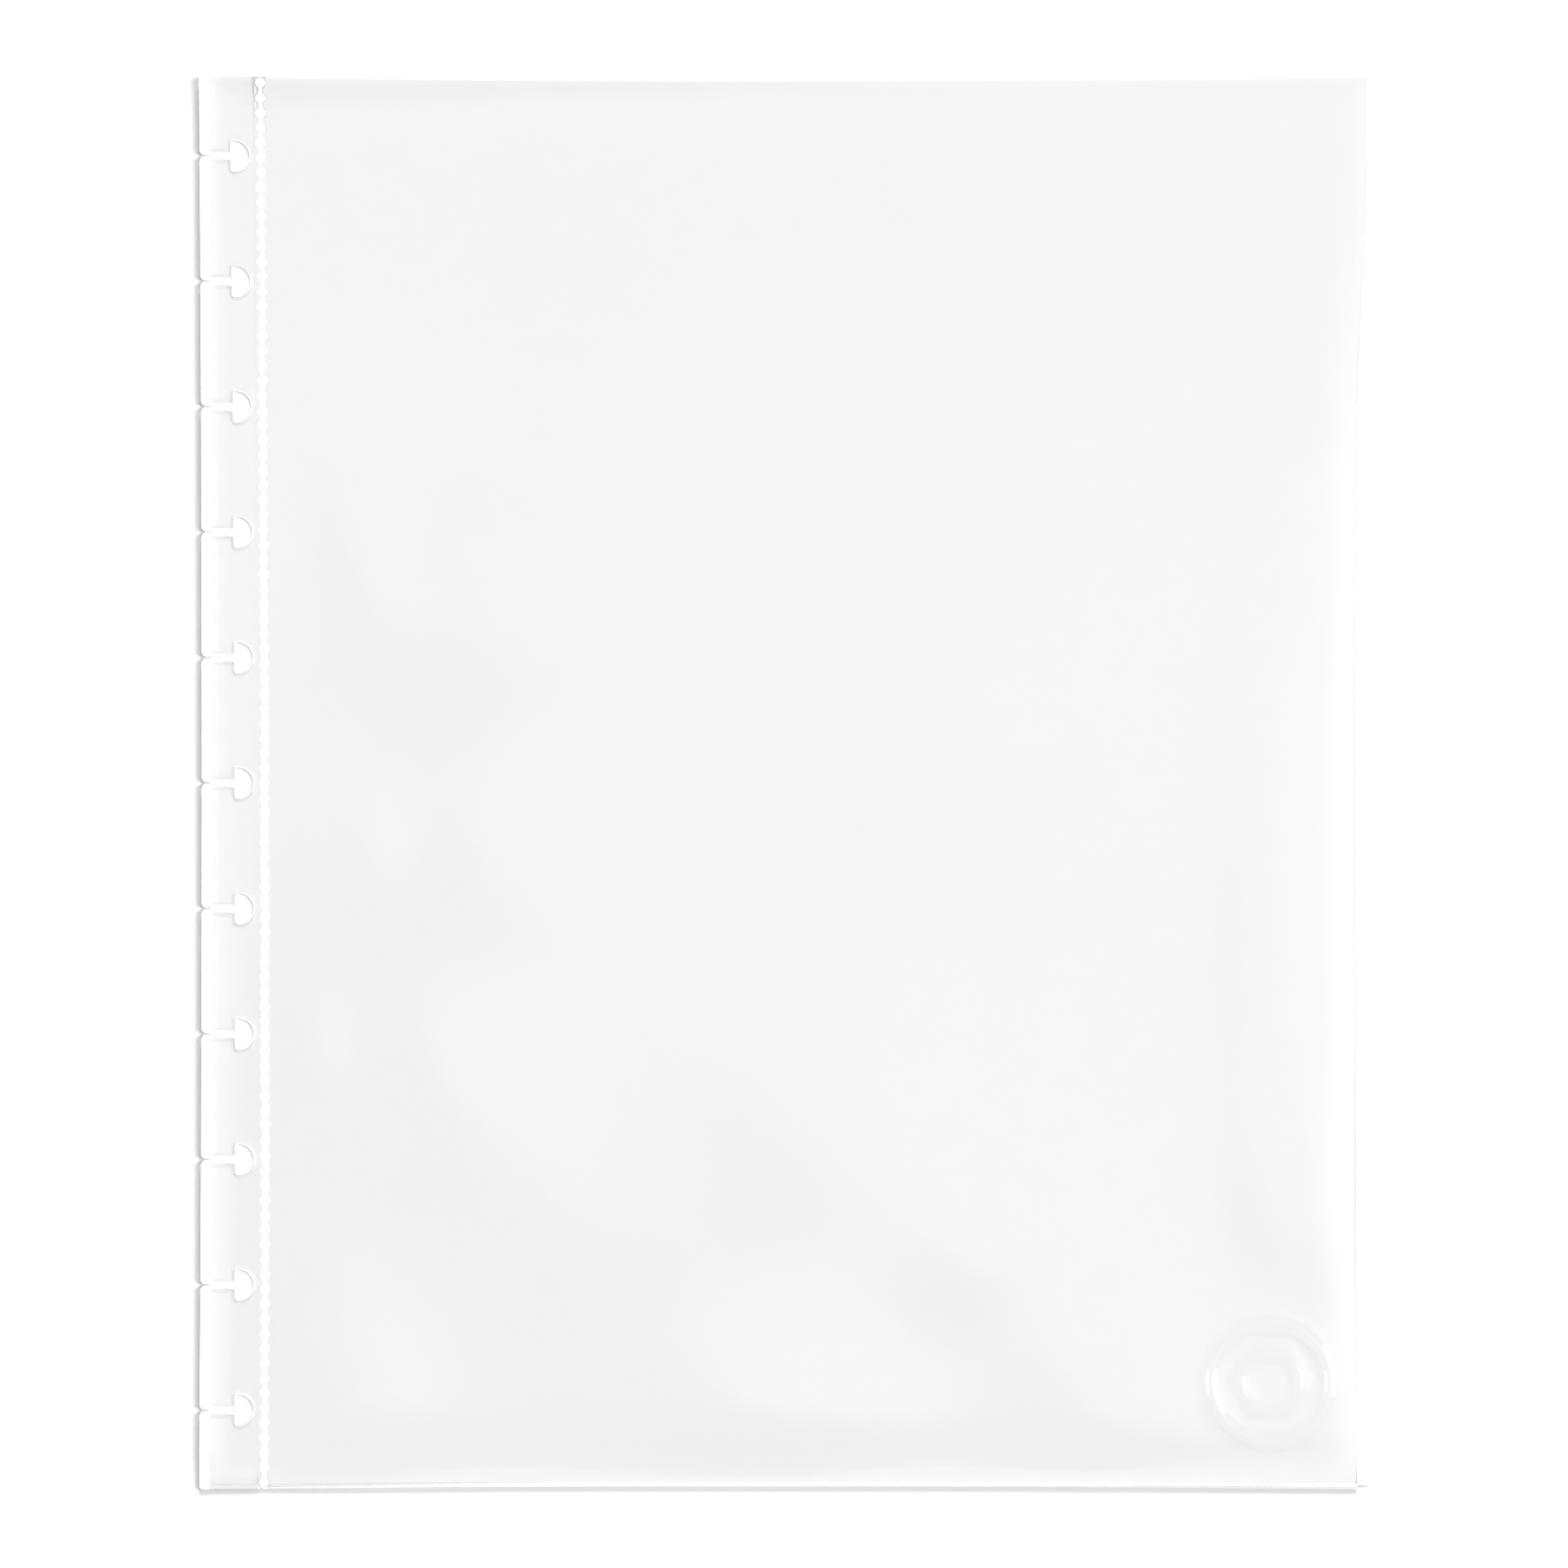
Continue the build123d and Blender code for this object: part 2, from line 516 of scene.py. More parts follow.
class MeshStock:
    """Skins and rims of thin closed solids, gathered into one mesh."""

    sharp_angle = math.radians(38)

    def __init__(self, lie: SheetLie, joins: Sequence[Join], whitened: Skin = Skin.UPPER) -> None:
        """Starts an empty stock.

        Args:
            lie: How the sheet lies.
            joins: Lines where the film runs on into the next piece, so that no edge shows there.
            whitened: The skin that the whitening lies on.
        """
        self.lie = lie
        self.joins = joins
        self.whitened = whitened
        self.joined: list[int] = []
        self.points: list[Array] = []
        self.faces: list[list[int]] = []
        self.whitening: list[Array] = []
        self.count = 0

    def add(self, flat: Array, cells: Array, lower: Heights, upper: Heights, white: Heights) -> None:
        """Adds a closed thin solid.

        Args:
            flat: Its points on the flat sheet, one row each.
            cells: Its triangles or squares, counter-clockwise, as rows of point numbers.
            lower: Height of the lower skin.
            upper: Height of the upper skin.
            white: How the film was worked: 1 where fused white, -1 where pressed grey, 0 where clear.
        """
        x, y = flat[:, 0], flat[:, 1]
        place_x, place_y = self.lie.shift(x, y)
        size = len(flat)
        self.points.append(np.column_stack([place_x, place_y, lower(x, y)]))
        self.points.append(np.column_stack([place_x, place_y, upper(x, y)]))
        worked = np.clip(white(x, y), -1.0, 1.0)
        self.whitening.extend(worked if skin is self.whitened else np.zeros(size) for skin in Skin)

        bottom, top = self.count, self.count + size
        on_joins = [join.meets(flat) for join in self.joins]
        edges: set[tuple[int, int]] = set()
        for cell in cells.tolist():
            self.faces.append([bottom + corner for corner in reversed(cell)])
            self.faces.append([top + corner for corner in cell])
            edges.update(zip(cell, [*cell[1:], cell[0]]))
        for start, end in sorted(edges):
            if (end, start) not in edges:
                if any(line[start] and line[end] for line in on_joins):
                    self.joined.append(len(self.faces))
                self.faces.append([bottom + start, bottom + end, top + end, top + start])
        self.count += 2 * size

    def add_outline(
        self, outline: Array, loose: Array, lower: Heights, upper: Heights, white: Heights
    ) -> None:
        """Adds a closed thin solid of any outline.

        Args:
            outline: Closed outline, one row for each point, counter-clockwise.
            loose: Points inside it.
            lower: Height of the lower skin.
            upper: Height of the upper skin.
            white: How the film was worked: 1 where fused white, -1 where pressed grey, 0 where clear.
        """
        flat = [Vector(point) for point in np.concatenate([outline, loose])]
        ring = list(range(len(outline)))
        inside_only, tolerance = 1, 1e-5
        points, _, cells, *_ = delaunay_2d_cdt(flat, [], [ring], inside_only, tolerance)
        corners, cells = np.array(points), np.array(cells)
        a, b, c = (corners[cells[:, index]] for index in range(3))
        turn = (b[:, 0] - a[:, 0]) * (c[:, 1] - a[:, 1]) - (b[:, 1] - a[:, 1]) * (c[:, 0] - a[:, 0])
        cells[turn < 0] = cells[turn < 0][:, ::-1]
        self.add(corners, cells, lower, upper, white)

    def add_strip(self, x: Array, y: Array, lower: Heights, upper: Heights, white: Heights) -> None:
        """Adds a closed thin solid on a grid of lines.

        Args:
            x: Lines across the sheet.
            y: Lines along the sheet.
            lower: Height of the lower skin.
            upper: Height of the upper skin.
            white: How the film was worked: 1 where fused white, -1 where pressed grey, 0 where clear.
        """
        across, lengthwise = np.meshgrid(x, y)
        flat = np.column_stack([across.ravel(), lengthwise.ravel()])
        first = (np.arange(len(y) - 1)[:, None] * len(x) + np.arange(len(x) - 1)).ravel()
        cells = np.column_stack([first, first + 1, first + len(x) + 1, first + len(x)])
        self.add(flat, cells, lower, upper, white)

    def piece(self, name: str, material: bpy.types.Material) -> bpy.types.Object:
        """The object made of all that was added.

        Args:
            name: Name of the object.
            material: Its finish.

        Returns:
            The object, in the scene.
        """
        mesh = bpy.data.meshes.new(name)
        mesh.from_pydata((np.concatenate(self.points) * MM).tolist(), [], self.faces)
        mesh.shade_smooth()
        mesh.set_sharp_from_angle(angle=self.sharp_angle)
        whitening = mesh.attributes.new(WHITENING, "FLOAT", "POINT")
        whitening.data.foreach_set("value", np.concatenate(self.whitening).astype(np.float32))
        mesh.materials.append(material)
        mesh.materials.append(JoinFinish().material())
        slots = np.zeros(len(self.faces), dtype=np.int32)
        slots[self.joined] = 1
        mesh.polygons.foreach_set("material_index", slots)
        return put_in_scene(name, mesh)


class NodeSheet:
    """Adds and links the nodes of one shader tree."""

    def __init__(self, owner: bpy.types.Material | bpy.types.World) -> None:
        """Empties the tree.

        Args:
            owner: The material or world that it belongs to.
        """
        owner.use_nodes = True
        self.tree = owner.node_tree
        self.tree.nodes.clear()

    def add(self, kind: str, **inputs: object) -> bpy.types.Node:
        """Adds a node.

        Args:
            kind: Its type.
            **inputs: Values or output sockets for its inputs, by name with _ for a space.

        Returns:
            The node.
        """
        node = self.tree.nodes.new(kind)
        for name, value in inputs.items():
            self.feed(node.inputs[name.replace("_", " ")], value)
        return node

    def feed(self, socket: Socket, value: object) -> None:
        """Links an output to a socket, or sets the socket's value.

        Args:
            socket: The socket.
            value: An output socket, or a value.
        """
        if isinstance(value, Socket):
            self.tree.links.new(value, socket)
        else:
            socket.default_value = value

    def noise(self, vector: Socket, patch: float, detail: float = 2.0) -> Socket:
        """Noise with patches of a size.

        Args:
            vector: Where it is read, in metres.
            patch: Size of a patch, in millimetres.
            detail: Number of finer layers.

        Returns:
            The noise, about 0.5.
        """
        node = self.add("ShaderNodeTexNoise", Vector=vector, Scale=1.0 / (patch * MM), Detail=detail)
        return node.outputs["Fac"]

    def spread(self, value: Socket, source: Sequence[float], target: Sequence[float]) -> Socket:
        """Maps a value smoothly from one range to another.

        Args:
            value: The value.
            source: Its range.
            target: The range to map to.

        Returns:
            The mapped value.
        """
        node = self.tree.nodes.new("ShaderNodeMapRange")
        node.interpolation_type = "SMOOTHSTEP"
        for index, number in enumerate((value, *source, *target)):
            self.feed(node.inputs[index], number)
        return node.outputs[0]

    def maths(self, operation: str, *values: object) -> Socket:
        """Result of a sum on some values.

        Args:
            operation: Name of the operation.
            *values: The values or sockets that it takes.

        Returns:
            The result.
        """
        node = self.tree.nodes.new("ShaderNodeMath")
        node.operation = operation
        for socket, value in zip(node.inputs, values):
            self.feed(socket, value)
        return node.outputs[0]

    def ramp(self, value: Socket, stops: Sequence[tuple[float, Sequence[float]]]) -> Socket:
        """Colours along a value.

        Args:
            value: The value, from 0 to 1.
            stops: Places and colours.

        Returns:
            The colour.
        """
        node = self.add("ShaderNodeValToRGB", Fac=value)
        marks = node.color_ramp.elements
        while len(marks) < len(stops):
            marks.new(0.5)
        for mark, (place, colour) in zip(marks, stops):
            mark.position = place
            mark.color = (*colour, 1.0)
        node.color_ramp.interpolation = "EASE"
        return node.outputs["Color"]

    def mix(self, share: Socket, first: Socket, second: Socket) -> Socket:
        """Mixes two shaders.

        Args:
            share: Share of the second shader.
            first: First shader.
            second: Second shader.

        Returns:
            The mixed shader.
        """
        node = self.tree.nodes.new("ShaderNodeMixShader")
        for socket, value in zip(node.inputs, (share, first, second)):
            self.feed(socket, value)
        return node.outputs[0]


@dataclass(frozen=True)
class JoinFinish:
    """Nothing to see: the film runs on here."""

    name: str = "film_runs_on"

    def material(self) -> bpy.types.Material:
        """The finish as a material.

        Returns:
            The material, made once.
        """
        made = bpy.data.materials.get(self.name)
        if made is None:
            made = bpy.data.materials.new(self.name)
            nodes = NodeSheet(made)
            through = nodes.add("ShaderNodeBsdfTransparent")
            nodes.add("ShaderNodeOutputMaterial", Surface=through.outputs[0])
        return made


@dataclass(frozen=True)
class FilmFinish:
    """Clear glossy film, white or grey where its mesh says that heat, a punch or a bar has worked it; the
    white at the slot heads' cut edges is partly a painted highlight.
    """

    name: str
    slot: Slot
    tint: tuple[float, float, float]
    cool_tint: tuple[float, float, float]
    gloss: tuple[float, float]
    white: tuple[float, float, float]
    shade: tuple[float, float, float]
    grey: tuple[float, float, float]
    onset: tuple[float, float] = (0.42, 0.58)
    mirrored: float = 0.03
    grazing_power: float = 5.0
    cloud: float = 70.0
    cloud_range: tuple[float, float] = (0.3, 0.7)
    tint_places: tuple[float, float] = (0.35, 0.65)
    pressed_to_fused: tuple[float, float] = (-0.2, 0.2)
    shade_place: float = 0.94
    cover: tuple[float, float] = (0.96, 1.0)
    milk_gloss: tuple[float, float] = (0.25, 0.35)

    def material(self) -> bpy.types.Material:
        """The finish as a material.

        Returns:
            A new material.
        """
        made = bpy.data.materials.new(self.name)
        nodes = NodeSheet(made)
        place = nodes.add("ShaderNodeTexCoord").outputs["Object"]
        cloud = nodes.noise(place, self.cloud, detail=1.0)
        tints = tuple(zip(self.tint_places, (self.tint, self.cool_tint)))
        through = nodes.add("ShaderNodeBsdfTransparent", Color=nodes.ramp(cloud, tints))
        gloss = nodes.spread(cloud, self.cloud_range, self.gloss)
        mirror = nodes.add("ShaderNodeBsdfGlossy", Color=WHITE, Roughness=gloss)
        facing = nodes.add("ShaderNodeLayerWeight", Blend=0.5).outputs["Facing"]
        grazing = nodes.maths("POWER", facing, self.grazing_power)
        grazing = nodes.maths("MULTIPLY_ADD", grazing, 1.0 - self.mirrored, self.mirrored)
        clear = nodes.mix(grazing, through.outputs[0], mirror.outputs[0])
        worked = nodes.add("ShaderNodeAttribute")
        worked.attribute_name = WHITENING
        surface = self.whitened(nodes, place, cloud, worked.outputs["Fac"], clear)
        nodes.add("ShaderNodeOutputMaterial", Surface=surface)
        return made

    def whitened(
        self, nodes: NodeSheet, place: Socket, cloud: Socket, worked: Socket, clear: Socket
    ) -> Socket:
        """Whitens the clear film where it was worked.

        Args:
            nodes: Tree to add to.
            place: Where on the piece, in metres.
            cloud: Slow noise.
            worked: How far the film was worked.
            clear: Shader of the clear film.

        Returns:
            Shader of the whole film.
        """
        milk = nodes.add(
            "ShaderNodeBsdfPrincipled",
            Base_Color=self.milk_colour(nodes, worked, nodes.spread(cloud, self.cloud_range, self.cover)),
            Roughness=nodes.spread(cloud, self.cloud_range, self.milk_gloss),
        )
        haze = nodes.spread(nodes.maths("ABSOLUTE", worked), self.onset, (0.0, 1.0))
        return nodes.mix(haze, clear, milk.outputs[0])

    def milk_colour(self, nodes: NodeSheet, worked: Socket, evenness: Socket) -> Socket:
        """Colour of worked film: grey where it is pressed, white where it is fused.

        Args:
            nodes: Tree to add to.
            worked: How the film was worked.
            evenness: How evenly the white covers, about 1.

        Returns:
            The colour.
        """
        fused = nodes.spread(worked, self.pressed_to_fused, (0.0, 1.0))
        stops = ((0.0, self.grey), (self.shade_place, self.shade), (1.0, self.white))
        return nodes.ramp(nodes.maths("MULTIPLY", fused, evenness), stops)


@dataclass(frozen=True)
class WeldFinish(FilmFinish):
    """Fused film: mottled white, with small dents from the heated bar."""

    mottle: float = 0.9
    mottle_range: tuple[float, float] = (0.25, 0.6)
    dent: float = 0.015
    ragged: float = 0.06
    milk_gloss: tuple[float, float] = (0.22, 0.42)

    def whitened(
        self, nodes: NodeSheet, place: Socket, cloud: Socket, worked: Socket, clear: Socket
    ) -> Socket:
        """Whitens the film unevenly, as a heated bar does.

        Args:
            nodes: Tree to add to.
            place: Where on the piece, in metres.
            cloud: Slow noise.
            worked: How far the film was worked.
            clear: Shader of the clear film.

        Returns:
            Shader of the whole weld.
        """
        mottle = nodes.noise(place, self.mottle)
        evenness = nodes.spread(mottle, self.mottle_range, (1.0 - self.ragged, 1.0))
        strength = nodes.maths("MULTIPLY", nodes.maths("ABSOLUTE", worked), evenness)
        haze = nodes.spread(strength, self.onset, (0.0, 1.0))
        dents = nodes.add("ShaderNodeBump", Height=mottle, Distance=self.dent * MM)
        milk = nodes.add(
            "ShaderNodeBsdfPrincipled",
            Base_Color=self.milk_colour(nodes, worked, evenness),
            Roughness=nodes.spread(mottle, self.cloud_range, self.milk_gloss),
            Normal=dents.outputs["Normal"],
        )
        return nodes.mix(haze, clear, milk.outputs[0])


def settle(piece: bpy.types.Object, body: Body, node: str, finish: FilmFinish) -> bpy.types.Object:
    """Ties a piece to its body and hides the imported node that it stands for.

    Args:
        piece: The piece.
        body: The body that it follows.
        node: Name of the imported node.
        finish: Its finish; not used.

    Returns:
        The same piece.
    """
    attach(piece, body.value)
    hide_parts(node)
    return piece


@dataclass(frozen=True)
class SlotShape:
    """A mushroom slot: mouth at the origin, where its lips nearly meet, stem and head along +X."""

    stem_width: float = 1.6
    stem_length: float = 6.7
    head_width: float = 6.2
    head_straight: float = 0.6
    corner_radius: float = 0.45
    mouth_width: float = 0.4
    lip_radius: float = 0.9
    arc_steps: int = 26
    corner_steps: int = 4

    def cut(self, mouth: float, level: float, start: float, grown: float = 0.0) -> Points:
        """Cut edge of the slot, from below its mouth round the head and back.

        Args:
            mouth: Place of the mouth across the sheet.
            level: Middle line of the slot along the sheet.
            start: Where the cut edge begins and ends across the sheet.
            grown: How far the line runs outside the cut edge.

        Returns:
            Points along the cut edge.
        """
        half_stem = self.stem_width / 2 + grown
        half_head = self.head_width / 2 + grown
        corner = self.corner_radius + grown
        back = mouth + self.stem_length - grown
        shoulder = mouth + self.stem_length + self.head_straight
        lower = [(start, level - half_stem), (back, level - half_stem)]
        lower += arc((back + corner, level - half_head + corner), corner, 180, 270, self.corner_steps)
        crown = arc((shoulder, level), half_head, -90, 90, self.arc_steps)
        upper = [(x, 2 * level - y) for x, y in reversed(lower)]
        return [*lower, *crown, *upper]


@dataclass
class BindingMargin:
    """The punched margin: two films and the welded binding edge, cut by the row of slots."""

    lines: SheetLines
    lie: SheetLie
    clear: FilmFinish
    welded: FilmFinish
    slot: SlotShape = field(default_factory=SlotShape)
    spacing: float = 1.5
    burr: float = 0.05
    burr_width: float = 0.34
    rows_beside: tuple[int, ...] = (1, 3)
    # White at the cut edges of the slot heads: partly punch whitening, partly a painted highlight of the cut
    # edges
    back_cut_white_and_highlight: float = 1.0
    front_cut_white_and_highlight: float = 0.75
    cut_highlight_start: tuple[float, float] = (5.6, 6.6)
    hem_width: float = 0.8
    hem_blend: float = 0.1
    weld_spacing: float = 0.34
    loose_spacings: float = 1.5
    clear_spacings: float = 0.6
    edge_drop: float = 0.1
    corner_radius: float = 0.7
    lip_steps: int = 6

    @property
    def hem_rows(self) -> tuple[float, ...]:
        """Heights above the bottom edge where the pressed hem changes."""
        return self.hem_width, self.hem_width + self.hem_blend

    def film_outline(self) -> Array:
        """Outline of one film of the margin, with its slots.

        Returns:
            The outline, counter-clockwise.
        """
        lines = self.lines
        left, right = lines.edge_weld_end, lines.margin_end
        hem = [(left, lines.bottom_edge + height) for height in self.hem_rows]
        side = along((left, lines.bottom_edge), (right, lines.bottom_edge), self.spacing)
        side += [(right, lines.bottom_edge), *((right, y) for _, y in hem[:-1])]
        side += along((right, hem[-1][1]), (right, lines.top_edge), self.spacing)
        side += along((right, lines.top_edge), (left, lines.top_edge), self.spacing)
        place = (left, lines.top_edge)
        for level in reversed(lines.slot_levels):
            cut = list(reversed(self.slot.cut(lines.binding_edge, level, left)))
            side += along(place, cut[0], self.spacing)
            side += self.finer(cut[:-1])
            place = cut[-1]
        side += along(place, hem[-1], self.spacing)
        side += reversed(hem)
        return np.array(side)

    def finer(self, points: Points) -> Points:
        """A line with points no further apart than two widths of the burr."""
        steps = [along(start, end, 2 * self.burr_width) for start, end in zip(points, points[1:])]
        return [*(point for step in steps for point in step), points[-1]]

    def from_cut(self, x: Array, y: Array) -> Array:
        """Distance of places from the nearest cut edge.

        Args:
            x: Places across the sheet.
            y: Places along the sheet.

        Returns:
            The distance at each place.
        """
        edge = self.lines.binding_edge
        cuts = [self.finer(self.slot.cut(edge, level, edge)) for level in self.lines.slot_levels]
        return nearest(np.column_stack([x, y]), np.concatenate(cuts))

    def film(self, name: str, level: float, whitened: Skin, cut_white_and_highlight: float) -> bpy.types.Object:
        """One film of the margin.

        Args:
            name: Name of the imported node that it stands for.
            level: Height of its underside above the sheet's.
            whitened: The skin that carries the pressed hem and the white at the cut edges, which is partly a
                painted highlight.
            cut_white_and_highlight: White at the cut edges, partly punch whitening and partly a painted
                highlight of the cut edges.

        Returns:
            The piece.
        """
        lines = self.lines
        outline = self.film_outline()
        rings = [
            self.finer(self.slot.cut(lines.binding_edge, place, lines.edge_weld_end, row * self.burr_width))
            for place in lines.slot_levels
            for row in self.rows_beside
        ]
        beside = np.concatenate(rings)
        beside = beside[inside(beside, outline)]
        beside = beside[beside[:, 0] > lines.edge_weld_end + self.burr_width / 2]
        beside = beside[beside[:, 0] < lines.margin_end - self.burr_width / 2]
        even = grid(lines.edge_weld_end, lines.bottom_edge, lines.margin_end, lines.top_edge, self.spacing)
        even = even[inside(even, outline)]
        hem_x = np.arange(lines.edge_weld_end + self.spacing / 2, lines.margin_end, self.spacing / 2)
        hem_y = [lines.bottom_edge + row for row in self.hem_rows]
        hem = [np.column_stack([hem_x, np.full(len(hem_x), y)]) for y in hem_y]
        beside = np.concatenate([beside, *hem])
        even = clear_of(even, np.concatenate([outline, beside]), self.spacing / 2)

        def lifted(x: Array, y: Array) -> Array:
            """Height of the underside."""
            burr = self.burr * smooth(self.from_cut(x, y), self.burr_width, 0.0)
            return self.lie.back(x, y) + level + burr

        stock = MeshStock(self.lie, joins_at((lines.edge_weld_end, lines.margin_end)), whitened)
        stock.add_outline(
            outline,
            np.concatenate([beside, even]),
            lifted,
            lambda x, y: lifted(x, y) + lines.film,
            lambda x, y: self.film_whiteness(x, y, cut_white_and_highlight),
        )
        return settle(stock.piece(f"{name}_sheet", self.clear.material()), Body.MARGIN, name, self.clear)

    def film_whiteness(self, x: Array, y: Array, cut_white_and_highlight: float) -> Array:
        """Working of a film: white round the heads of its slots, partly a painted highlight of the cut edges,
        pressed along the bottom.

        Args:
            x: Places across the sheet.
            y: Places along the sheet.
            cut_white_and_highlight: White at the cut edges, partly punch whitening and partly a painted
                highlight of the cut edges.

        Returns:
            The whitening at each place.
        """
        lines = self.lines
        # White round the cut edges of the slot heads only: partly punch whitening, partly a painted highlight
        # of the cut edges
        at_heads = smooth(x, *(lines.binding_edge + place for place in self.cut_highlight_start))
        burr = cut_white_and_highlight * at_heads * np.clip(1.0 - self.from_cut(x, y) / self.burr_width, 0.0, 1.0)
        pressed, hem_end = (lines.bottom_edge + row for row in self.hem_rows)
        return burr - smooth(y, hem_end, pressed)

    def weld_outline(self, low: float, high: float, low_end: bool, high_end: bool) -> Array:
        """Outline of the welded edge of one tab.

        Args:
            low: Lower end of the tab, the middle of a slot or the bottom of the sheet.
            high: Upper end of the tab.
            low_end: True at the bottom of the sheet.
            high_end: True at the top of the sheet.

        Returns:
            The outline, counter-clockwise.
        """
        lines, slot = self.lines, self.slot
        edge, inner = lines.binding_edge, lines.edge_weld_end
        half_mouth = slot.mouth_width / 2
        start = low if low_end else low + half_mouth
        stop = high if high_end else high - half_mouth
        low_radius = self.corner_radius if low_end else slot.lip_radius
        high_radius = self.corner_radius if high_end else slot.lip_radius
        top = arc((edge + high_radius, stop - high_radius), high_radius, 90, 180, self.lip_steps)
        bottom = arc((edge + low_radius, start + low_radius), low_radius, 180, 270, self.lip_steps)
        path = along((inner, start), (inner, stop), 2 * self.weld_spacing)
        path += along((inner, stop), top[0], self.weld_spacing)
        path += top[:-1]
        path += along(top[-1], bottom[0], 2 * self.weld_spacing)
        path += bottom[:-1]
        path += along(bottom[-1], (inner, start), self.weld_spacing)
        return np.array(path)

    def edge_weld(self) -> bpy.types.Object:
        """The welded binding edge, a short band with rounded lips for each tab.

        Returns:
            The piece.
        """
        lines = self.lines
        ends = [lines.bottom_edge, *lines.slot_levels, lines.top_edge]
        stock = MeshStock(self.lie, joins_at((lines.edge_weld_end,)))

        def upper(x: Array, y: Array) -> Array:
            """Height of the upper skin, rounded off at the binding edge."""
            drop = self.edge_drop * smooth(x, lines.binding_edge + self.weld_spacing, lines.binding_edge)
            return self.lie.back(x, y) + lines.thickness - drop

        for index, (low, high) in enumerate(zip(ends, ends[1:])):
            outline = self.weld_outline(low, high, index == 0, index == len(ends) - 2)
            spacing = self.loose_spacings * self.weld_spacing
            loose = grid(lines.binding_edge, low, lines.edge_weld_end, high, spacing)
            gap = self.clear_spacings * self.weld_spacing
            loose = clear_of(loose[inside(loose, outline)], outline, gap)
            stock.add_outline(outline, loose, self.lie.back, upper, evenly(1.0))
        piece = stock.piece("binding_edge_band", self.welded.material())
        return settle(piece, Body.MARGIN, "binding_edge_weld", self.welded)

    def build(self) -> list[bpy.types.Object]:
        """Builds the margin.

        Returns:
            Its pieces.
        """
        back = self.film("margin_back_film", 0.0, Skin.LOWER, self.back_cut_white_and_highlight)
        front = self.film("margin_front_film", self.lines.front_level, Skin.UPPER, self.front_cut_white_and_highlight)
        return [back, front, self.edge_weld()]


@dataclass
class BeadedSeam:
    """The seam between margin and pocket: a fused band with a row of white beads."""

    lines: SheetLines
    lie: SheetLie
    welded: FilmFinish
    bead_radius: float = 1.15
    bead_length: float = 0.93
    bead_vary: float = 0.04
    vary_turn: float = 2.4
    wander: float = 0.05
    wander_waves: tuple[float, float] = (9.7, 23.0)
    wander_phase: float = 1.0
    bead_pitch: float = 3.0
    end_land: float = 1.25
    neck: float = 0.52
    full_neck: float = 0.72
    filling: tuple[float, float] = (0.12, 0.42)
    thinning: tuple[float, float] = (0.72, 0.95)
    thinned: float = 0.6
    crown: float = 0.9
    step: float = 0.19
    rim_rise: float = 12.0

    def beads(self) -> Array:
        """Middles of the beads along the sheet.

        Returns:
            Their places, from the bottom to the top.
        """
        run = self.lines.top_edge - self.lines.bottom_edge - 2 * self.end_land
        gaps = round(run / self.bead_pitch)
        return self.lines.bottom_edge + self.end_land + np.arange(gaps + 1) * run / gaps

    def roundness(self, x: Array, y: Array) -> Array:
        """How far inside the white row a place is, in bead radii: 0 on its rim, 1 at its middle.

        Args:
            x: Places across the sheet.
            y: Places along the sheet.

        Returns:
            The depth at each place, negative outside.
        """
        lines = self.lines
        middles = self.beads()
        short, long = self.wander_waves
        wander = self.wander * np.sin(y / short) * np.sin(y / long + self.wander_phase)
        across = x - (lines.margin_end + lines.seam_end) / 2 - wander
        pitch = middles[1] - middles[0]
        number = np.clip(np.round((y - middles[0]) / pitch), 0, len(middles) - 1)
        lengthwise = y - middles[0] - number * pitch
        radius = self.bead_radius * (1.0 + self.bead_vary * np.sin(number * self.vary_turn))
        bead = 1.0 - np.hypot(across, lengthwise / self.bead_length) / radius
        height = (lines.top_edge - y) / (lines.top_edge - lines.bottom_edge)
        full = smooth(height, *self.filling) - self.thinned * smooth(height, *self.thinning)
        neck = between(self.neck, self.full_neck, full)
        return np.maximum(bead, (neck - np.abs(across)) / self.bead_radius)

    def build(self) -> list[bpy.types.Object]:
        """Builds the seam.

        Returns:
            Its piece.
        """
        lines = self.lines
        x = spaced(lines.margin_end, lines.seam_end, self.step)
        y = spaced(lines.bottom_edge, lines.top_edge, self.step)
        rise = lines.seam_top - lines.thickness

        def upper(x: Array, y: Array) -> Array:
            """Height of the upper skin with its beads."""
            bead = rise * smooth(self.roundness(x, y), 0.0, self.crown)
            return self.lie.back(x, y) + lines.thickness + bead

        def white(x: Array, y: Array) -> Array:
            """Working of the seam: white on the row of beads, pressed beside it."""
            return np.clip(self.rim_rise * self.roundness(x, y), -1.0, 1.0)

        stock = MeshStock(self.lie, joins_at((lines.margin_end, lines.seam_end)), Skin.LOWER)
        stock.add_strip(x, y, self.lie.back, upper, white)
        piece = stock.piece("beaded_seam_band", self.welded.material())
        level = lines.thickness / 2 * MM
        start, end = (lines.margin_end * MM, 0.0, level), (lines.seam_end * MM, 0.0, level)
        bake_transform(piece)
        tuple(start)
        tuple(end)
        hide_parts("seam_weld")
        return [piece]


